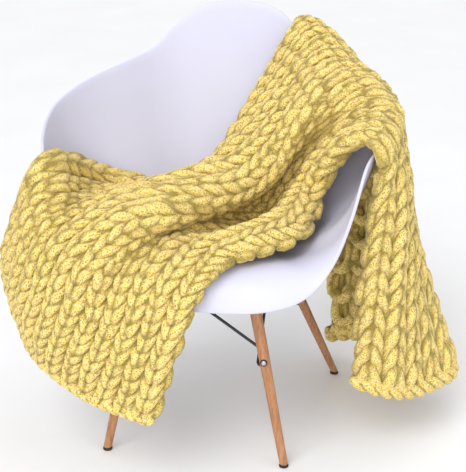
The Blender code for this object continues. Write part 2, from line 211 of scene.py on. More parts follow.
VALLEY = (
    (-0.352, -0.120, 0.215),
    (-0.364, -0.176, 0.325),
    (-0.338, -0.196, 0.425),
    (-0.289, -0.186, 0.512),
    (-0.260, -0.098, 0.506),
    (-0.230, 0.010, 0.480),
    (-0.092, 0.082, 0.470),
    (-0.004, 0.128, 0.522),
    (0.052, 0.175, 0.604),
    (0.106, 0.206, 0.692),
    (0.178, 0.232, 0.778),
    (0.240, 0.290, 0.680),
    (0.318, 0.276, 0.390),
    (0.350, 0.238, 0.075),
)
FAR_EDGE = (
    (-0.368, -0.050, 0.230),
    (-0.400, -0.100, 0.350),
    (-0.366, -0.135, 0.460),
    (-0.305, -0.132, 0.602),
    (-0.274, -0.030, 0.572),
    (-0.245, 0.075, 0.520),
    (-0.128, 0.130, 0.465),
    (-0.042, 0.166, 0.482),
    (0.022, 0.215, 0.580),
    (0.074, 0.248, 0.685),
    (0.138, 0.286, 0.796),
    (0.182, 0.338, 0.690),
    (0.208, 0.322, 0.390),
    (0.210, 0.278, 0.040),
)
LINES = (NEAR_EDGE, STRIP, TROUGH, TUCK, RIDGE, CROWN, VALLEY, FAR_EDGE)


# ---- settings


def a_length(name, description, default):
    """A length in metres, shown to a tenth of a millimetre."""
    return bpy.props.FloatProperty(
        name=name, description=description, default=default, unit="LENGTH", precision=4)


def a_colour(name, description, default):
    return bpy.props.FloatVectorProperty(
        name=name, description=description, default=default, subtype="COLOR", size=3)


def a_count(name, description, default, least):
    return bpy.props.IntProperty(name=name, description=description, default=default, min=least)


def a_number(name, description, default, unit="NONE", subtype="NONE"):
    return bpy.props.FloatProperty(
        name=name, description=description, default=default, unit=unit, subtype=subtype)


class KnitSettings(bpy.types.PropertyGroup):
    """Yarn and stitches of the blanket."""

    wales: a_count("Wales", "Columns of stitches across the width", 12, 4)
    rows: a_count("Rows", "Rows of stitches along the length", 44, 8)
    width: a_length("Flat width", "Width of the blanket laid flat", 0.57)
    length: a_length("Flat length", "Length of the blanket laid flat", 1.54)
    yarn_radius: a_length("Yarn radius", "Radius of the plump yarn", 0.0106)
    front: a_length("Leg relief", "How far the legs of a stitch stand in front of the middle", 0.0088)
    back: a_length("Head depth", "How far the heads of the loops lie behind the middle", 0.0052)
    shingle: a_number("Shingle", "How far the top of each leg tucks under the next row", 0.42)
    loop_height: a_number("Loop height", "Half height of a loop in rows", 1.10)
    leg_lean: a_number("Leg lean", "How strongly the two legs of a stitch lean apart, in wales", 0.290)
    uneven: a_number("Unevenness", "How far stitches stray from an even fabric, in stitches", 0.10)
    edge_inset: a_length("Edge inset", "Distance from the cloth's edge to its outermost yarn", 0.010)
    color: a_colour("Yarn", "Main colour of the yarn", (0.81, 0.61, 0.105))
    pale: a_colour("Pale pile", "Colour of the brushed tips", (0.91, 0.75, 0.31))
    fleck: a_colour("Fleck", "Colour of the warm flecks", (0.82, 0.55, 0.30))
    # The colour of painted shade, on the core sheet and in the yarn's crevices.
    core: a_colour("Core", "Colour deep between the stitches", (0.20, 0.14, 0.018))


class ChairSettings(bpy.types.PropertyGroup):
    """Shell, legs and rods of the chair."""

    plastic: a_colour("Shell", "Colour of the moulded shell", (0.62, 0.62, 0.75))
    wood: a_colour("Wood", "Main colour of the legs", (0.50, 0.25, 0.12))
    wood_dark: a_colour("Dark grain", "Colour of the wood's dark grain", (0.33, 0.14, 0.06))
    leg_top: a_length("Leg top radius", "Radius of a leg under the seat", 0.0125)
    leg_foot: a_length("Leg foot radius", "Radius of a leg at the foot", 0.0085)
    rod: a_length("Rod radius", "Radius of the rods between the legs", 0.003)


class StudioSettings(bpy.types.PropertyGroup):
    """Floor, light and camera."""

    floor: a_colour("Floor", "Colour of the floor", (0.86, 0.86, 0.86))
    turn: a_number("Turn", "Camera direction round the chair", math.radians(10.2), subtype="ANGLE")
    rise: a_number("Rise", "Camera height above the horizon", math.radians(22.0), subtype="ANGLE")
    distance: a_length("Distance", "Camera distance", 2.4)
    lens: a_number("Lens", "Focal length of the camera", 90.6, unit="CAMERA")
    key: a_number("Key light", "Strength of the main soft light", 1.45)
    fill: a_number("Fill light", "Power of the softer lights", 5.0, unit="POWER")
    sky: a_number("Sky", "Strength of the surrounding light", 0.80)


# ---- materials

# The colour sockets of a Mix node, which share their names with its other kinds.
MIX_A = 6
MIX_B = 7
MIX_RESULT = 2


def node(tree, kind, **options):
    """A new shader node, with some of its options set."""
    made = tree.nodes.new("ShaderNode" + kind)
    for key, value in options.items():
        setattr(made, key, value)
    return made


def fill(node, **values):
    """Set a node's inputs, which values name with low lines for spaces."""
    for key, value in values.items():
        node.inputs[key.replace("_", " ")].default_value = value
    return node


def link(source, node, socket):
    """Join a socket to one of a node's inputs, given by name or number."""
    node.id_data.links.new(source, node.inputs[socket])


def shader(name, color, rough, **values):
    """A new material, its main shader and the position on the object."""
    mat = bpy.data.materials.new(name)
    mat.use_nodes = True
    bsdf = mat.node_tree.nodes["Principled BSDF"]
    fill(bsdf, Base_Color=(*color, 1.0), Roughness=rough, **values)
    return mat, bsdf, node(mat.node_tree, "TexCoord").outputs["Object"]


def streaks(where, share):
    """The position with its height shortened to a share, which draws patterns out along z."""
    made = fill(node(where.id_data, "Mapping"), Scale=(1.0, 1.0, share))
    link(where, made, "Vector")
    return made.outputs["Vector"]


def noise(where, scale, detail=3.0, rough=0.5):
    """Cloudy values round 0.5, scale of them to the metre."""
    made = fill(node(where.id_data, "TexNoise"), Scale=scale, Detail=detail, Roughness=rough)
    link(where, made, "Vector")
    return made.outputs["Fac"]


def cells(where, scale):
    """Distance from the middle of the nearest of scattered cells, scale of them to the metre."""
    made = fill(node(where.id_data, "TexVoronoi"), Scale=scale)
    link(where, made, "Vector")
    return made.outputs["Distance"]


def ramp(value, first, last):
    """The value as a mask; first and last each hold a value and the grey that it gives."""
    made = node(value.id_data, "ValToRGB")
    for element, (position, grey) in zip(made.color_ramp.elements, (first, last)):
        element.position = position
        element.color = (grey, grey, grey, 1.0)
    link(value, made, "Fac")
    return made.outputs["Color"]


def blend(mask, first, second):
    """The colour first where mask is 0 and second where it is 1; either may be a socket."""
    made = node(mask.id_data, "Mix", data_type="RGBA")
    link(mask, made, "Factor")
    for socket, value in ((MIX_A, first), (MIX_B, second)):
        if hasattr(value, "__len__"):
            made.inputs[socket].default_value = (*value, 1.0)
        else:
            link(value, made, socket)
    return made.outputs[MIX_RESULT]


def bump(bsdf, *heights):
    """A chain of bumps, each a socket, a strength and a distance in metres."""
    last = None
    for height, strength, distance in heights:
        made = fill(node(bsdf.id_data, "Bump"), Strength=strength, Distance=distance)
        link(height, made, "Height")
        if last is not None:
            link(last, made, "Normal")
        last = made.outputs["Normal"]
    link(last, bsdf, "Normal")


def chenille(settings):
    """Brushed chenille yarn: short pile, dark pinholes of painted shade, warm flecks, and painted shade
    where it dives under.
    """
    mat, bsdf, where = shader("chenille_yarn", settings.color, 0.92, Sheen_Weight=0.25, Sheen_Roughness=0.6,
                              Specular_IOR_Level=0.15, Sheen_Tint=(1.0, 0.93, 0.70, 1.0))
    pile = noise(where, 260.0, 3.0, 0.6)
    tufts = cells(where, 300.0)
    broad = noise(where, 16.0, 2.0)
    warm = noise(where, 190.0, 2.0, 0.6)
    color = blend(ramp(pile, (0.42, 0.0), (0.60, 1.0)), settings.color, settings.pale)
    color = blend(ramp(warm, (0.54, 0.0), (0.66, 0.8)), color, settings.fleck)
    # Painted shade: small dark pinholes in the pile, where the cell mask and the noise gate meet.
    pinhole_shade = fill(node(bsdf.id_data, "Mix", data_type="RGBA", blend_type="MULTIPLY"), Factor=1.0)
    link(ramp(tufts, (0.24, 1.0), (0.46, 0.0)), pinhole_shade, MIX_A)
    link(ramp(noise(where, 140.0, 1.0), (0.30, 0.0), (0.42, 1.0)), pinhole_shade, MIX_B)
    color = blend(pinhole_shade.outputs[MIX_RESULT], color, (0.27, 0.16, 0.035))
    color = blend(ramp(broad, (0.35, 0.10), (0.65, 0.0)), color, settings.fleck)
    # Painted shade: the yarn's colour goes towards the shade colour in crevices and where the yarn dives
    # under.
    painted_shade = node(bsdf.id_data, "Attribute", attribute_name="painted_shade", attribute_type="GEOMETRY")
    link(blend(painted_shade.outputs["Fac"], color, settings.core), bsdf, "Base Color")
    bump(bsdf, (pile, 0.55, 0.0016), (tufts, 0.35, 0.0010))
    return mat


def painted_shade_core(settings):
    """The web of pile behind the stitches, a dark sheet coloured as painted shade."""
    mat, bsdf, where = shader("painted_shade_core", settings.core, 0.95, Specular_IOR_Level=0.1)
    fuzz = noise(where, 260.0, 4.0, 0.6)
    dark = tuple(0.6 * c for c in settings.core)
    link(blend(ramp(fuzz, (0.35, 0.0), (0.65, 1.0)), dark, settings.core), bsdf, "Base Color")
    bump(bsdf, (fuzz, 0.5, 0.002))
    return mat


def moulded_plastic(settings):
    """Satin injection-moulded shell with a faint fine texture and slight cloudiness."""
    mat, bsdf, where = shader("moulded_plastic", settings.plastic, 0.42, Specular_IOR_Level=0.42)
    cloud = ramp(noise(where, 5.0, 2.0), (0.3, 0.0), (0.7, 1.0))
    scuff = noise(where, 40.0, 3.0, 0.6)
    cool = tuple(c * k for c, k in zip(settings.plastic, (0.965, 0.965, 0.985)))
    link(blend(cloud, cool, settings.plastic), bsdf, "Base Color")
    link(ramp(scuff, (0.3, 0.38), (0.75, 0.50)), bsdf, "Roughness")
    bump(bsdf, (noise(where, 900.0, 2.0), 0.12, 0.0004))
    return mat


def turned_wood(settings):
    """Oiled hardwood with fine streaks and pores along the leg."""
    mat, bsdf, where = shader("oiled_beech", settings.wood, 0.48, Specular_IOR_Level=0.35)
    grain = noise(streaks(where, 0.055), 260.0, 5.0, 0.62)
    rings = noise(streaks(where, 0.12), 55.0, 3.0)
    pores = cells(streaks(where, 0.08), 900.0)
    light = tuple(1.25 * c for c in settings.wood)
    color = blend(ramp(grain, (0.36, 1.0), (0.62, 0.0)), settings.wood, settings.wood_dark)
    color = blend(ramp(rings, (0.4, 0.0), (0.7, 0.35)), color, light)
    color = blend(ramp(pores, (0.08, 0.5), (0.2, 0.0)), color, (0.12, 0.05, 0.02))
    link(color, bsdf, "Base Color")
    link(ramp(grain, (0.3, 0.58), (0.7, 0.42)), bsdf, "Roughness")
    bump(bsdf, (grain, 0.25, 0.0004))
    return mat


def coated_steel():
    """Black powder-coated rod with a fine orange peel and worn highlights."""
    black = (0.018, 0.018, 0.020)
    mat, bsdf, where = shader("black_steel", black, 0.38, Specular_IOR_Level=0.5)
    wear = noise(where, 60.0, 4.0, 0.7)
    link(blend(ramp(wear, (0.60, 0.0), (0.78, 0.5)), black, (0.075, 0.075, 0.08)), bsdf, "Base Color")
    link(ramp(wear, (0.3, 0.34), (0.8, 0.52)), bsdf, "Roughness")
    bump(bsdf, (noise(where, 700.0, 2.0), 0.2, 0.0003))
    return mat


def plated_steel():
    """Plated bolt head with fine turning marks."""
    mat, bsdf, where = shader("bright_steel", (0.58, 0.58, 0.60), 0.28, Metallic=1.0)
    marks = noise(where, 1500.0, 3.0, 0.6)
    cloud = ramp(noise(where, 220.0), (0.4, 0.0), (0.7, 1.0))
    link(blend(cloud, (0.50, 0.50, 0.52), (0.64, 0.64, 0.66)), bsdf, "Base Color")
    link(ramp(marks, (0.3, 0.22), (0.7, 0.40)), bsdf, "Roughness")
    bump(bsdf, (marks, 0.15, 0.0002))
    return mat


def soft_rubber():
    """Matt moulded rubber with a dusty bloom."""
    mat, bsdf, where = shader("moulded_rubber", (0.03, 0.03, 0.03), 0.8, Specular_IOR_Level=0.25)
    bloom = ramp(noise(where, 120.0, 4.0, 0.6), (0.4, 0.0), (0.75, 0.6))
    link(blend(bloom, (0.025, 0.025, 0.025), (0.07, 0.068, 0.065)), bsdf, "Base Color")
    bump(bsdf, (noise(where, 800.0), 0.25, 0.0003))
    return mat


def matt_floor(settings):
    """Smooth pale studio floor with the faintest clouds."""
    mat, bsdf, where = shader("pale_floor", settings.floor, 0.85, Specular_IOR_Level=0.1)
    cloud = ramp(noise(where, 3.0), (0.3, 0.0), (0.7, 1.0))
    pale = tuple(0.97 * c for c in settings.floor)
    link(blend(cloud, pale, settings.floor), bsdf, "Base Color")
    return mat


# ---- geometry

# How far the point of a tube's end stands out, in radii.
TUBE_CAP = 0.6


def new_object(name, verts, faces, mat, smooth=True):
    mesh = bpy.data.meshes.new(name)
    mesh.from_pydata(np.asarray(verts, float).tolist(), [], [tuple(map(int, f)) for f in faces])
    mesh.polygons.foreach_set("use_smooth", [smooth] * len(mesh.polygons))
    mesh.materials.append(mat)
    made = bpy.data.objects.new(name, mesh)
    bpy.context.scene.collection.objects.link(made)
    return made


def catmull(points, t, closed=False):
    """The place at t on a smooth curve through the points, with one unit of t between neighbours."""
    pts = np.asarray(points, float)
    n = len(pts)
    if closed:
        i = int(math.floor(t)) % n
        f = t - math.floor(t)
        p0, p1, p2, p3 = (pts[(i + k) % n] for k in (-1, 0, 1, 2))
    else:
        i = min(int(math.floor(t)), n - 2)
        f = t - i
        p1 = pts[i]
        p2 = pts[i + 1]
        p0 = pts[i - 1] if i > 0 else 2.0 * p1 - p2
        p3 = pts[i + 2] if i + 2 < n else 2.0 * p2 - p1
    return 0.5 * (2.0 * p1 + (p2 - p0) * f + (2.0 * p0 - 5.0 * p1 + 4.0 * p2 - p3) * f * f
                  + (3.0 * p1 - p0 - 3.0 * p2 + p3) * f ** 3)


def rim_rows():
    """The whole rim: the right half from the front lip to the top of the back, then its mirror."""
    half = [list(row) for row in RIM]
    other = [[-r[0], r[1], r[2], -r[3]] + r[4:] for r in half[-2:0:-1]]
    return np.array(half + other)


def shell_point(rows, around, up):
    """Point of the shell's inner face: around in 0..1 round the rim, up in 0..1 from pan to rim."""
    row = catmull(rows, around * len(rows), closed=True)
    pan = np.array(PAN)
    rim = row[0:3]
    out = np.array([rim[0] - pan[0], rim[1] - pan[1], 0.0])
    near = pan + out * row[6] + np.array([0.0, 0.0, row[7]])
    far = rim + row[3:6]
    w = 1.0 - up
    return w ** 3 * pan + 3 * w * w * up * near + 3 * w * up * up * far + up ** 3 * rim


def ring_faces(sides, rings):
    """Faces of a round sheet: triangles about its middle point, then rings of quads."""
    faces = [(0, 1 + i, 1 + (i + 1) % sides) for i in range(sides)]
    for a in range(1, 1 + (rings - 1) * sides, sides):
        b = a + sides
        for i in range(sides):
            j = (i + 1) % sides
            faces.append((a + i, b + i, b + j, a + j))
    return faces


def shell_sheet(sides, rings):
    """Inner face of the shell as a middle point and rings of quads."""
    rows = rim_rows()
    verts = [np.array(PAN)]
    for k in range(1, rings + 1):
        for i in range(sides):
            verts.append(shell_point(rows, i / sides, (k / rings) ** RING_POWER))
    return np.array(verts), ring_faces(sides, rings)


def sheet_normals(verts, faces):
    """Area-weighted vertex normals of a sheet, up and inward on the shell."""
    normals = np.zeros_like(verts)
    for face in faces:
        p = verts[list(face)]
        n = np.cross(p[2] - p[0], p[-1] - p[1]) if len(face) == 4 else np.cross(p[1] - p[0], p[2] - p[0])
        for v in face:
            normals[v] += n
    return normals / np.linalg.norm(normals, axis=1)[:, None]


def shell_middle_tree():
    verts, faces = shell_sheet(COARSE_AROUND, COARSE_RINGS)
    middle = verts - sheet_normals(verts, faces) * SHELL_T * 0.5
    return BVHTree.FromPolygons([Vector(v) for v in middle], faces)


def even_section(points, count):
    """The cross-section's curve as count + 1 points evenly spaced by length."""
    fine = 16
    dense = np.array([catmull(points, k / fine) for k in range(fine * (len(points) - 1) + 1)])
    steps = np.linalg.norm(np.diff(dense, axis=0), axis=1)
    length = np.concatenate([[0.0], np.cumsum(steps)])
    at = np.linspace(0.0, length[-1], count + 1)
    return np.stack([np.interp(at, length, dense[:, k]) for k in range(3)], axis=1)


def softened(grid):
    """The inside of a grid, each value halfway to the mean of its four neighbours."""
    beside = grid[:-2, 1:-1] + grid[2:, 1:-1] + grid[1:-1, :-2] + grid[1:-1, 2:]
    return 0.5 * grid[1:-1, 1:-1] + 0.125 * beside


def relax(grid):
    """One smoothing pass; hems and edges only move along themselves."""
    out = grid.copy()
    out[1:-1, 1:-1] = softened(grid)
    for edge in (0, -1):
        out[edge, 1:-1] = 0.5 * grid[edge, 1:-1] + 0.25 * (grid[edge, :-2] + grid[edge, 2:])
        out[1:-1, edge] = 0.5 * grid[1:-1, edge] + 0.25 * (grid[:-2, edge] + grid[2:, edge])
    return out


def soften_folds(grid):
    """Ease any place that bends tighter than the least fold radius, across and along."""
    for axis in (1, 0):
        g = np.swapaxes(grid, 0, axis) if axis else grid.copy()
        before, here, after = g[:-2], g[1:-1], g[2:]
        step = 0.5 * (np.linalg.norm(here - before, axis=2) + np.linalg.norm(after - here, axis=2))
        bend = 0.5 * (before + after) - here
        size = np.maximum(np.linalg.norm(bend, axis=2), 1e-9)
        excess = np.maximum(size - step * step / (2.0 * FOLD_R), 0.0)
        moved = g.copy()
        moved[1:-1] = here + bend * (FOLD_EASE * excess / size)[..., None]
        grid = np.swapaxes(moved, 0, axis) if axis else moved
    return grid


def push_off(grid, tree, distance):
    """Move points that are nearer to the shell's middle than distance away from it."""
    out = grid.reshape(-1, 3).copy()
    rim_face = COARSE_AROUND * (COARSE_RINGS - 2)
    for k, p in enumerate(out):
        spot, _, face, near = tree.find_nearest(Vector(p))
        keep = distance + (RIM_CLEAR if face >= rim_face else 0.0)
        if near < keep:
            out[k] = np.array(spot) + (p - np.array(spot)) / max(near, 1e-6) * keep
    return out.reshape(grid.shape)


def grid_faces(rows, cols):
    faces = []
    for j in range(rows - 1):
        for i in range(cols - 1):
            a = j * cols + i
            faces.append((a, a + cols, a + cols + 1, a + 1))
    return faces


class Cloth:
    """The blanket's middle surface: a smooth place and direction for any wale and row."""

    def __init__(self):
        tree = shell_middle_tree()
        keep = 0.5 * SHELL_T + 0.5 * CLOTH_T + CLOTH_CLEAR
        grid = []
        for j in range(GRID_ALONG + 1):
            t = float(np.interp(STATIONS[-1] * j / GRID_ALONG, STATIONS, range(len(STATIONS))))
            grid.append(even_section(np.array([catmull(line, t) for line in LINES]), GRID_ACROSS))
        grid = np.array(grid)
        for _ in range(REST_PASSES):
            grid = push_off(relax(grid), tree, keep)
        for k in range(1, FOLD_PASSES + 1):
            grid = soften_folds(grid)
            if k % FOLDS_PER_REST == 0:
                grid = push_off(grid, tree, keep)
        flat = grid.reshape(-1, 3)
        normals = sheet_normals(flat, grid_faces(GRID_ALONG + 1, GRID_ACROSS + 1)).reshape(grid.shape)
        for _ in range(NORMAL_PASSES):
            normals = relax(normals)
        field = np.concatenate([grid + SHIFT, normals], axis=2)
        self.padded = np.pad(field, ((1, 1), (1, 1), (0, 0)), mode="reflect", reflect_type="odd")

    def at(self, across, along):
        """Places and normals, no longer than one, for arrays of fractions across and along."""
        x = np.asarray(across) * GRID_ACROSS
        y = np.asarray(along) * GRID_ALONG
        i = np.clip(np.floor(x).astype(int), 0, GRID_ACROSS - 1)
        j = np.clip(np.floor(y).astype(int), 0, GRID_ALONG - 1)
        wx = cubic_weights(x - i)
        wy = cubic_weights(y - j)
        total = np.zeros(x.shape + (6,))
        for b in range(4):
            for a in range(4):
                total += (wx[..., a] * wy[..., b])[..., None] * self.padded[j + b, i + a]
        return total[..., :3], total[..., 3:]


def cubic_weights(f):
    """Weights of the four grid lines round fractions of a cell, which may run a little past it."""
    f = np.clip(f, -0.6, 1.6)
    return np.stack([
        -0.5 * f + f ** 2 - 0.5 * f ** 3,
        1.0 - 2.5 * f ** 2 + 1.5 * f ** 3,
        0.5 * f + 2.0 * f ** 2 - 1.5 * f ** 3,
        -0.5 * f ** 2 + 0.5 * f ** 3], axis=-1)


def unit(v):
    return v / np.maximum(np.linalg.norm(v, axis=-1), 1e-9)[..., None]


def tube(centre, up, radius, sides, squash=1.0):
    """Closed tube along centre; up aims each ring, and radius varies along it and may round it."""
    n = len(centre)
    tangent = unit(np.gradient(centre, axis=0))
    side = unit(np.cross(up, tangent))
    rise = np.cross(tangent, side)
    turn = np.linspace(0.0, 2.0 * math.pi, sides, endpoint=False)
    ring = (np.cos(turn)[None, :, None] * side[:, None, :]
            + squash * np.sin(turn)[None, :, None] * rise[:, None, :])
    verts = (centre[:, None, :] + radius[..., None] * ring).reshape(-1, 3)
    k = np.arange(n - 1)[:, None] * sides
    a = np.arange(sides)[None, :]
    b = (a + 1) % sides
    faces = np.stack([k + a, k + b, k + sides + b, k + sides + a], axis=-1).reshape(-1, 4).tolist()
    ends = len(verts)
    verts = np.vstack([verts, centre[0] - tangent[0] * radius[0].mean() * TUBE_CAP,
                       centre[-1] + tangent[-1] * radius[-1].mean() * TUBE_CAP])
    for i in range(sides):
        j = (i + 1) % sides
        faces.append((ends, j, i))
        faces.append((ends + 1, (n - 1) * sides + i, (n - 1) * sides + j))
    return verts, faces


# ---- the blanket

SEED = 11
# Points along one stitch, and round the yarn.
PER_STITCH = 26
YARN_SIDES = 12
# Pieces along the blanket, and the shares of the rows where each starts and ends.
BANDS = (("knit_left", 0.0, 0.34), ("knit_middle", 0.34, 0.67), ("knit_right", 0.67, 1.0))
# Shares of the unevenness.
STRAY_ACROSS = 0.55
STRAY_ALONG = 0.8
STRAY_DEPTH = 1.6
STRAY_GIRTH = 0.6
# What the girth gains on the legs of a stitch and on the heads behind them.
LEG_GIRTH = 0.07
HEAD_GIRTH = -0.16
# Rows from a hem to the outermost loops, and to the middle of the chain that binds it.
LOOP_MARGIN = 0.15
HEM_MARGIN = 0.10
# A turn at an edge: its points, its swing outward in wales, its depth and the girth it loses.
TURN_POINTS = 7
TURN_SWING = 0.05
TURN_DEPTH = 0.004
TURN_THIN = 0.10
# A hem's chain: how far its plies pass the edges and sway, in wales and rows, and their depth.
HEM_PAST = 0.05
HEM_SWAY = (0.12, 0.23)
HEM_DEPTH = 0.0085
HEM_GIRTH = 0.90
# Painted shade in crevices, set in radii from the middle line of another stretch of yarn.
CREVICE_REACH = 1.45
CREVICE_START = 1.36
CREVICE_DEPTH = 0.30
CREVICE_POWER = 2.2
CREVICE_SHADE = 0.80
# The yarn gets painted shade where it dives below this height over the cloth's middle, over this span.
DIVE_HEIGHT = 0.0115
DIVE_SPAN = 0.0105
DIVE_POWER = 1.25
DIVE_SHADE = 0.7
# Random lumps, the least and greatest girth where rows crowd or part, and how flat the yarn lies.
LUMPS = 0.022
PRESS = (0.84, 1.12)
SQUASH = 0.94
# Where the core sheet of painted shade starts and ends, and how far it lies in front of the cloth's middle.
CORE_ALONG = (0.012, 0.988)
CORE_ACROSS = (0.020, 0.980)
CORE_LIFT = 0.003


def stray(rng, rows, knots):
    """Smooth random wandering, one value for each row and each half wale."""
    soft = softened(rng.normal(size=(rows + 2, knots + 2)))
    return soft / soft.std()


def course(settings, row, wander):
    """One row of loops from the near edge to the far edge: wale, row, depth and girth along the yarn."""
    wales = settings.wales
    t = np.linspace(-math.pi, (2 * wales - 1) * math.pi, wales * PER_STITCH + 1)
    knots = np.linspace(t[0], t[-1], 2 * wales + 1)
    shift_x, shift_y, shift_r = (np.interp(t, knots, w[row]) for w in wander)
    lift = settings.uneven
    wale = (t + math.pi) / (2.0 * math.pi)
    x = wale + settings.leg_lean * np.sin(2.0 * t) + lift * STRAY_ACROSS * shift_x
    y = row + 0.5 + settings.loop_height * np.cos(t) + lift * STRAY_ALONG * shift_y
    y = np.clip(y, LOOP_MARGIN, settings.rows - LOOP_MARGIN)
    half = np.abs((t + math.pi) % (2.0 * math.pi) - math.pi)
    wave = -np.cos(2.0 * (half - settings.shingle * np.sin(half)))
    z = wave * np.where(wave > 0.0, settings.front, settings.back) * (1.0 + STRAY_DEPTH * lift * shift_y)
    girth = 1.0 + np.where(wave > 0.0, LEG_GIRTH, HEAD_GIRTH) * wave + STRAY_GIRTH * lift * shift_r
    return np.stack([x, y, z, girth], axis=1)


def edge_turn(first, second, outward):
    """Yarn that turns at an edge from the end of one row to the start of the next."""
    s = np.linspace(0.0, 1.0, TURN_POINTS + 2)[1:-1]
    arc = np.sin(math.pi * s)
    path = first + (second - first) * s[:, None]
    path[:, 0] += outward * TURN_SWING * arc
    path[:, 2] += TURN_DEPTH * arc
    path[:, 3] -= TURN_THIN * arc
    return path


def knitted_path(settings, low, high, wander):
    """The yarn to and fro between two rows, as wale, row, depth and girth."""
    path = []
    for row in range(low, high):
        line = course(settings, row, wander)
        if row % 2:
            line = line[::-1]
        if path:
            path.append(edge_turn(path[-1][-1], line[0], 1.0 if row % 2 else -1.0))
        path.append(line)
    return np.vstack(path)


def hem_rope(settings, row):
    """The twisted chain along a hem: yarn that runs out as one ply and back as the other."""
    s = np.linspace(-HEM_PAST, settings.wales + HEM_PAST, settings.wales * PER_STITCH)
    plies = []
    for phase in (0.0, math.pi):
        twist = 2.0 * math.pi * s + phase
        x = s + HEM_SWAY[0] * np.sin(twist)
        y = row + HEM_SWAY[1] * np.sin(twist)
        z = HEM_DEPTH * np.cos(twist)
        girth = HEM_GIRTH + 0.05 * np.sin(5.3 * s + phase)
        plies.append(np.stack([x, y, z, girth], axis=1))
    return np.vstack([plies[0], plies[1][::-1]])


def crevices(rings, centre, radius):
    """How close each point of the yarn lies to another stretch of yarn, 0 clear to 1 touching; this sets
    the painted shade in crevices.
    """
    tree = KDTree(len(centre))
    for k, point in enumerate(centre):
        tree.insert(point, k)
    tree.balance()
    reach = CREVICE_REACH * float(radius.max())
    apart = PER_STITCH // 4
    close = np.zeros(rings.shape[:2])
    for k, ring in enumerate(rings):
        for side, point in enumerate(ring):
            for _, other, distance in tree.find_range(point, reach):
                if abs(other - k) > apart:
                    close[k, side] = max(close[k, side], CREVICE_START - distance / radius[other])
    return np.clip(close / CREVICE_DEPTH, 0.0, 1.0) ** CREVICE_POWER


def lay_on_cloth(settings, cloth, path, rng):
    """Solid yarn along a path given in wales, rows, depth and girth, with its painted shade at each point.
    """
    span = np.array([settings.width, settings.length])
    inset = settings.edge_inset / span
    across = inset[0] + (1.0 - 2.0 * inset[0]) * path[:, 0] / settings.wales
    along = inset[1] + (1.0 - 2.0 * inset[1]) * path[:, 1] / settings.rows
    base, up = cloth.at(across, along)
    centre = base + up * path[:, 2:3]
    up = unit(up)
    lumps = 1.0 + rng.normal(size=(len(path), YARN_SIDES)) * LUMPS
    step = 0.25 / settings.rows
    ahead = cloth.at(across, along + step)[0]
    pitch = np.linalg.norm(ahead - cloth.at(across, along - step)[0], axis=1) * 2.0
    press = np.clip((pitch * settings.rows / settings.length) ** 0.5, *PRESS)
    radius = settings.yarn_radius * press[:, None] * path[:, 3:4] * lumps
    verts, faces = tube(centre, up, radius, YARN_SIDES, SQUASH)
    rings = verts[:len(path) * YARN_SIDES].reshape(len(path), YARN_SIDES, 3)
    height = np.abs(np.einsum("nsk,nk->ns", rings - base[:, None, :], up))
    # Painted shade: darker where the yarn dives below the cloth's middle and where it crowds against other
    # yarn.
    painted_shade = DIVE_SHADE * np.clip((DIVE_HEIGHT - height) / DIVE_SPAN, 0.0, 1.0) ** DIVE_POWER
    painted_shade = np.maximum(painted_shade, CREVICE_SHADE * crevices(rings, centre, radius.mean(axis=1)))
    ends = [0.5, 0.5]
    return verts, faces, np.concatenate([painted_shade.reshape(-1), ends])


def join(parts):
    """Lengths of yarn as one mesh: its points, faces and painted shade."""
    verts, faces, painted_shade = [], [], []
    count = 0
    for v, f, d in parts:
        verts.append(v)
        faces += [[i + count for i in face] for face in f]
        painted_shade.append(d)
        count += len(v)
    return np.vstack(verts), faces, np.concatenate(painted_shade)


class KNIT_OT_blanket(bpy.types.Operator):
    """Knit the blanket: rows of plump loops, their hems, and the core sheet of painted shade behind them"""

    bl_idname = "knit.blanket"
    bl_label = "Knit Blanket"

    def execute(self, context):
        settings = context.scene.knit
        yarn = chenille(settings)
        cloth = Cloth()
        rng = np.random.default_rng(SEED)
        wander = [stray(rng, settings.rows, 2 * settings.wales + 1) for _ in range(3)]
        for name, low, high in BANDS:
            first = int(round(low * settings.rows))
            last = int(round(high * settings.rows))
            paths = [knitted_path(settings, first, last, wander)]
            if first == 0:
                paths.append(hem_rope(settings, HEM_MARGIN))
            if last == settings.rows:
                paths.append(hem_rope(settings, settings.rows - HEM_MARGIN))
            verts, faces, painted_shade = join([lay_on_cloth(settings, cloth, path, rng) for path in paths])
            piece = new_object(name, verts, faces, yarn)
            shade = piece.data.attributes.new("painted_shade", "FLOAT", "POINT")
            shade.data.foreach_set("value", painted_shade)
            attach(piece, "root")
        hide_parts("blanket")
        # The core sheet: a dark sheet of painted shade that shows between the stitches.
        rows = 2 * GRID_ALONG + 1
        cols = 2 * GRID_ACROSS + 1
        along, across = np.meshgrid(
            np.linspace(*CORE_ALONG, rows), np.linspace(*CORE_ACROSS, cols), indexing="ij")
        verts, up = cloth.at(across, along)
        verts = verts + CORE_LIFT * up
        core = new_object("knit_shade_core", verts.reshape(-1, 3), grid_faces(rows, cols), painted_shade_core(settings))
        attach(core, "root")
        return {"FINISHED"}


# ---- the chair

SHELL_AROUND = 200
SHELL_RINGS = 40
RIM_ROUND = 5
LEG_SIDES = 32
BOLT_SIDES = 28
ROD_SIDES = 16
BOLT_Z = 0.218
BOLT_R = 0.0062
GLIDE_H = 0.005
GLIDE_R = 0.0095
# Space between a glide and its leg.
GLIDE_GAP = 0.0003
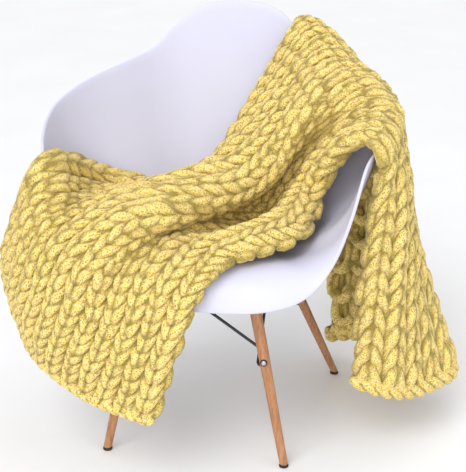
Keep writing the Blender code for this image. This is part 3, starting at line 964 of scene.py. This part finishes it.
# Turned profiles: distance from the start, and share of the piece's radius.
FOOT_PROFILE = ((0.0, 0.80), (0.0012, 0.95))
GLIDE_PROFILE = ((0.0, 0.86), (0.0008, 0.97), (0.0022, 1.0), (0.0038, 0.98), (GLIDE_H, 0.88))
WASHER_PROFILE = ((0.0, 1.15), (0.0022, 1.15), (0.0028, 1.04), (0.0028, 0.8))
BOLT_PROFILE = (
    (0.0020, 0.82), (0.0036, 0.80), (0.0046, 0.66), (0.0051, 0.44), (0.0051, 0.34), (0.0032, 0.32))
# How far the washers sink into the legs.
BOLT_SINK = 0.0010
# The swell of a leg, the share of its length that each rounded end takes, and the steps between.
LEG_SWELL = 0.015
LEG_END = 0.008
LEG_STEPS = 24
# The rods of each pair run this far inside their legs, and the side pairs this much lower.
ROD_INSET = (0.0165, 0.0290)
ROD_DROP = 0.022
ROD_ABOVE_BOLT = 0.010
ROD_BELOW_TOP = 0.014
ROD_SHORT = 0.004
ROD_BEND = 0.008
BASE_MIDDLE = np.array([0.0, -0.03, 0.0])


class KNIT_OT_shell(bpy.types.Operator):
    """Mould the seat shell with its rounded rim"""

    bl_idname = "knit.shell"
    bl_label = "Mould Shell"

    def execute(self, context):
        around = SHELL_AROUND
        top, faces = shell_sheet(around, SHELL_RINGS)
        normals = sheet_normals(top, faces)
        middle = top - normals * SHELL_T * 0.5
        rim = middle[-around:]
        up = normals[-around:]
        outward = unit(rim - middle[-2 * around:-around])
        outward = unit(outward - up * np.sum(outward * up, axis=1)[:, None])
        layers = [middle + normals * SHELL_T * 0.5]
        for k in range(1, RIM_ROUND):
            a = math.pi * (0.5 - k / RIM_ROUND)
            layers.append(rim + SHELL_T * 0.5 * (math.cos(a) * outward + math.sin(a) * up))
        layers.append(middle - normals * SHELL_T * 0.5)
        count = len(top)
        solid = [tuple(f) for f in faces]
        starts = [count - around] + [count + k * around for k in range(RIM_ROUND - 1)]
        under = count + (RIM_ROUND - 1) * around
        starts.append(under + count - around)
        for a, b in zip(starts[:-1], starts[1:]):
            for i in range(around):
                j = (i + 1) % around
                solid.append((a + i, b + i, b + j, a + j))
        solid += [tuple(under + v for v in reversed(f)) for f in faces]
        plastic = moulded_plastic(context.scene.chair)
        shell = new_object("seat_shell", np.vstack(layers) + SHIFT, solid, plastic)
        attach(shell, "root")
        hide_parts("shell")
        return {"FINISHED"}


def leg_line(row, side):
    """The top and the foot of a leg's middle line; side is 1 on the right and -1 on the left."""
    _, tx, ty, tz, fx, fy = row
    return np.array([side * tx, ty, tz]), np.array([side * fx, fy, GLIDE_H + GLIDE_GAP])


def on_leg(row, side, z):
    """The place on a leg's middle line at a height."""
    top, foot = leg_line(row, side)
    return foot + (top - foot) * (z - foot[2]) / (top[2] - foot[2])


def each_leg():
    """The row, side and name of every leg."""
    for row in LEGS:
        for side in (1, -1):
            yield row, side, row[0] + ("_right" if side > 0 else "_left")


def turned(profile, radius):
    """A profile's shares as radii."""
    return [(distance, radius * share) for distance, share in profile]


def lathe(start, end, profile, sides, level=False):
    """Solid turned about start to end from (distance, radius); level keeps its rings horizontal."""
    axis = end - start
    length = np.linalg.norm(axis)
    axis = axis / length
    if level:
        u = np.array([1.0, 0.0, 0.0])
        v = np.array([0.0, 1.0, 0.0])
    else:
        u = unit(np.cross(axis, (0.0, 0.0, 1.0) if abs(axis[2]) < 0.9 else (1.0, 0.0, 0.0)))
        v = np.cross(axis, u)
    turn = np.linspace(0.0, 2.0 * math.pi, sides, endpoint=False)
    ring = np.cos(turn)[:, None] * u + np.sin(turn)[:, None] * v
    verts = [start + axis * profile[0][0]]
    for distance, radius in profile:
        verts += list(start + axis * distance + radius * ring)
    verts.append(start + axis * profile[-1][0])
    faces = []
    for i in range(sides):
        j = (i + 1) % sides
        faces.append((0, 1 + j, 1 + i))
        for k in range(len(profile) - 1):
            a = 1 + k * sides
            b = a + sides
            faces.append((a + i, a + j, b + j, b + i))
        last = 1 + (len(profile) - 1) * sides
        faces.append((last + i, last + j, len(verts) - 1))
    return np.array(verts), faces


class KNIT_OT_legs(bpy.types.Operator):
    """Turn the four wooden legs and fit their glides"""

    bl_idname = "knit.legs"
    bl_label = "Turn Legs"

    def execute(self, context):
        settings = context.scene.chair
        wood = turned_wood(settings)
        rubber = soft_rubber()
        for row, side, name in each_leg():
            top, foot = leg_line(row, side)
            length = np.linalg.norm(top - foot)
            profile = turned(FOOT_PROFILE, settings.leg_foot)
            for k in range(LEG_STEPS + 1):
                share = LEG_END + (1.0 - 2.0 * LEG_END) * k / LEG_STEPS
                swell = 1.0 + LEG_SWELL * math.sin(math.pi * share)
                radius = settings.leg_foot + (settings.leg_top - settings.leg_foot) * share
                profile.append((length * share, radius * swell))
            profile.append((length, settings.leg_top * 0.95))
            verts, faces = lathe(foot, top, profile, LEG_SIDES, level=True)
            leg = new_object("turned_leg_" + name, verts + SHIFT, faces, wood)
            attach(leg, "root")
            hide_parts("leg_" + name)
            low = np.array([foot[0], foot[1], 0.0])
            high = low + np.array([0.0, 0.0, GLIDE_H])
            verts, faces = lathe(low, high, turned(GLIDE_PROFILE, GLIDE_R), LEG_SIDES, level=True)
            glide = new_object("foot_glide_" + name, verts + SHIFT, faces, rubber)
            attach(glide, "root")
            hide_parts("glide_" + name)
            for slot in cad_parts["mount_" + name].material_slots:
                slot.material = rubber
        return {"FINISHED"}


def bent_rod(leg_a, low, high, leg_b):
    """Centreline of a rod with its ends turned in to the legs."""
    along = unit(high - low)
    turn_a = unit(leg_a - low)
    turn_b = unit(leg_b - high)
    points = [low + turn_a * (np.linalg.norm(leg_a - low) - ROD_SHORT)]
    for corner, before, after in ((low, turn_a, along), (high, -along, turn_b)):
        start = corner + before * ROD_BEND
        end = corner + after * ROD_BEND
        for share in np.linspace(0.0, 1.0, 6):
            points.append((1 - share) ** 2 * start + 2 * share * (1 - share) * corner + share ** 2 * end)
    points.append(high + turn_b * (np.linalg.norm(leg_b - high) - ROD_SHORT))
    return np.array(points)


def rod_between(row_a, side_a, row_b, side_b, inset, drop):
    """Centreline of a rod from above the bolt of one leg to below the top of another."""
    low = on_leg(row_a, side_a, BOLT_Z + ROD_ABOVE_BOLT - drop)
    high = on_leg(row_b, side_b, row_b[3] - ROD_BELOW_TOP - drop)
    along = unit(high - low)
    inward = unit(np.array([-along[1], along[0], 0.0]))
    if inward.dot(BASE_MIDDLE - 0.5 * (low + high)) < 0.0:
        inward = -inward
    return bent_rod(low, low + inward * inset + along * ROD_SHORT,
                    high + inward * inset - along * ROD_SHORT, high)


class KNIT_OT_steel(bpy.types.Operator):
    """Bend the black rods and set the bolts through the legs"""

    bl_idname = "knit.steel"
    bl_label = "Fit Steel Base"

    def execute(self, context):
        settings = context.scene.chair
        black = coated_steel()
        bright = plated_steel()
        front, rear = LEGS
        spans = (
            ("front", front, 1, front, -1, 0.0),
            ("back", rear, 1, rear, -1, 0.0),
            ("right", front, 1, rear, 1, ROD_DROP),
            ("left", front, -1, rear, -1, ROD_DROP),
        )
        for label, row_a, side_a, row_b, side_b, drop in spans:
            ends = ((row_a, side_a, row_b, side_b), (row_b, side_b, row_a, side_a))
            for letter, pair, inset in zip("ab", ends, ROD_INSET):
                centre = rod_between(*pair, inset, drop)
                up = np.tile([0.0, 0.0, 1.0], (len(centre), 1))
                radius = np.full((len(centre), 1), settings.rod)
                verts, faces = tube(centre, up, radius, ROD_SIDES)
                rod = new_object("rod_" + label + "_" + letter, verts + SHIFT, faces, black)
                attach(rod, "root")
                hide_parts("strut_" + label + "_" + letter)
        for row, side, name in each_leg():
            centre = on_leg(row, side, BOLT_Z)
            top, foot = leg_line(row, side)
            axis = unit(top - foot)
            out = np.array([0.0, -1.0 if row[0] == "front" else 1.0, 0.0])
            out = unit(out - axis * out.dot(axis))
            radius = settings.leg_foot + (settings.leg_top - settings.leg_foot) * BOLT_Z / row[3]
            start = centre + out * (radius - BOLT_SINK)
            end = start + out
            verts, faces = lathe(start, end, turned(WASHER_PROFILE, BOLT_R), BOLT_SIDES)
            disc = new_object("washer_" + name, verts + SHIFT, faces, black)
            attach(disc, "root")
            verts, faces = lathe(start, end, turned(BOLT_PROFILE, BOLT_R), BOLT_SIDES)
            bolt = new_object("bolt_head_" + name, verts + SHIFT, faces, bright)
            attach(bolt, "root")
            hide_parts("bolt_" + name)
        return {"FINISHED"}


# ---- floor, light and camera

FLOOR_RADIUS = 7.0
FLOOR_RINGS = 12
FLOOR_SIDES = 48
SKY_TINT = (0.96, 0.97, 1.0, 1.0)
KEY_ANGLE = math.radians(40.0)
KEY_FROM = (-0.26, -0.66, 0.78)
KEY_TINT = (1.0, 0.99, 0.97)
# What the soft lights point at, and for each its name, place, size, share of the power and tint.
LIT_SPOT = (0.0, 0.0, 0.42)
SOFT_LIGHTS = (
    ("fill_light", (2.0, -1.4, 1.3), 1.8, 1.0, (0.97, 0.98, 1.0)),
    ("front_light", (0.15, -2.4, 1.0), 1.3, 2.6, (0.98, 0.98, 1.0)),
    ("top_light", (0.2, 0.6, 2.6), 1.6, 1.0, (1.0, 1.0, 1.0)),
)
# What the camera looks at, in the chair's own frame, and the width of its sensor in millimetres.
AIM = np.array([0.043, 0.0, 0.404])
SENSOR = 36.0


def floor_mesh():
    """A round floor as a middle point and rings of quads."""
    verts = [(0.0, 0.0, 0.0)]
    for k in range(1, FLOOR_RINGS + 1):
        reach = FLOOR_RADIUS * k / FLOOR_RINGS
        for i in range(FLOOR_SIDES):
            a = 2.0 * math.pi * i / FLOOR_SIDES
            verts.append((reach * math.cos(a), reach * math.sin(a), 0.0))
    return verts, ring_faces(FLOOR_SIDES, FLOOR_RINGS)


def lamp(name, kind, toward, tint):
    """A new light that shines from the direction toward, and its data."""
    data = bpy.data.lights.new(name, kind)
    data.color = tint
    made = bpy.data.objects.new(name, data)
    made.rotation_euler = Vector(toward).to_track_quat("Z", "Y").to_euler()
    bpy.context.scene.collection.objects.link(made)
    return made, data


class KNIT_OT_studio(bpy.types.Operator):
    """Lay the pale floor and set the soft lights and the camera"""

    bl_idname = "knit.studio"
    bl_label = "Set Up Studio"

    def execute(self, context):
        settings = context.scene.studio
        floor = new_object("studio_floor", *floor_mesh(), matt_floor(settings))
        world = bpy.data.worlds.new("studio_sky")
        world.use_nodes = True
        fill(world.node_tree.nodes["Background"], Color=SKY_TINT, Strength=settings.sky)
        context.scene.world = world
        _, key = lamp("key_light", "SUN", KEY_FROM, KEY_TINT)
        key.energy = settings.key
        key.angle = KEY_ANGLE
        for name, spot, width, share, tint in SOFT_LIGHTS:
            made, data = lamp(name, "AREA", Vector(spot) - Vector(LIT_SPOT), tint)
            made.location = spot
            data.shape = "DISK"
            data.size = width
            data.energy = share * settings.fill
        context.scene.view_settings.view_transform = "Standard"
        back = np.array([math.sin(settings.turn) * math.cos(settings.rise),
                         -math.cos(settings.turn) * math.cos(settings.rise), math.sin(settings.rise)])
        camera = bpy.data.objects.new("studio_camera", bpy.data.cameras.new("studio_camera"))
        camera.data.lens = settings.lens
        camera.data.sensor_width = SENSOR
        camera.location = AIM + SHIFT + back * settings.distance
        camera.rotation_euler = Vector(back).to_track_quat("Z", "Y").to_euler()
        context.scene.collection.objects.link(camera)
        context.scene.camera = camera
        return {"FINISHED"}


class KNIT_PT_panel(bpy.types.Panel):
    """Sizes, colours and steps of the blanket and its chair"""

    bl_idname = "KNIT_PT_panel"
    bl_label = "Chunky Knit Blanket"
    bl_space_type = "VIEW_3D"
    bl_region_type = "UI"
    bl_category = "Knit"

    def draw(self, context):
        scene = context.scene
        for title, settings, steps in (
            ("Blanket", scene.knit, ("knit.blanket",)),
            ("Chair", scene.chair, ("knit.shell", "knit.legs", "knit.steel")),
            ("Studio", scene.studio, ("knit.studio",)),
        ):
            box = self.layout.box()
            box.label(text=title)
            for key in settings.__annotations__:
                box.prop(settings, key)
            for step in steps:
                box.operator(step)


CLASSES = (
    KnitSettings, ChairSettings, StudioSettings, KNIT_OT_studio, KNIT_OT_shell, KNIT_OT_legs,
    KNIT_OT_steel, KNIT_OT_blanket, KNIT_PT_panel)


def register():
    for cls in CLASSES:
        bpy.utils.register_class(cls)
    bpy.types.Scene.knit = bpy.props.PointerProperty(type=KnitSettings)
    bpy.types.Scene.chair = bpy.props.PointerProperty(type=ChairSettings)
    bpy.types.Scene.studio = bpy.props.PointerProperty(type=StudioSettings)


def unregister():
    del bpy.types.Scene.studio
    del bpy.types.Scene.chair
    del bpy.types.Scene.knit
    for cls in reversed(CLASSES):
        bpy.utils.unregister_class(cls)


def main():
    register()
    bpy.ops.knit.studio()
    bpy.ops.knit.shell()
    bpy.ops.knit.legs()
    bpy.ops.knit.steel()
    bpy.ops.knit.blanket()


if __name__ == "__main__":
    main()
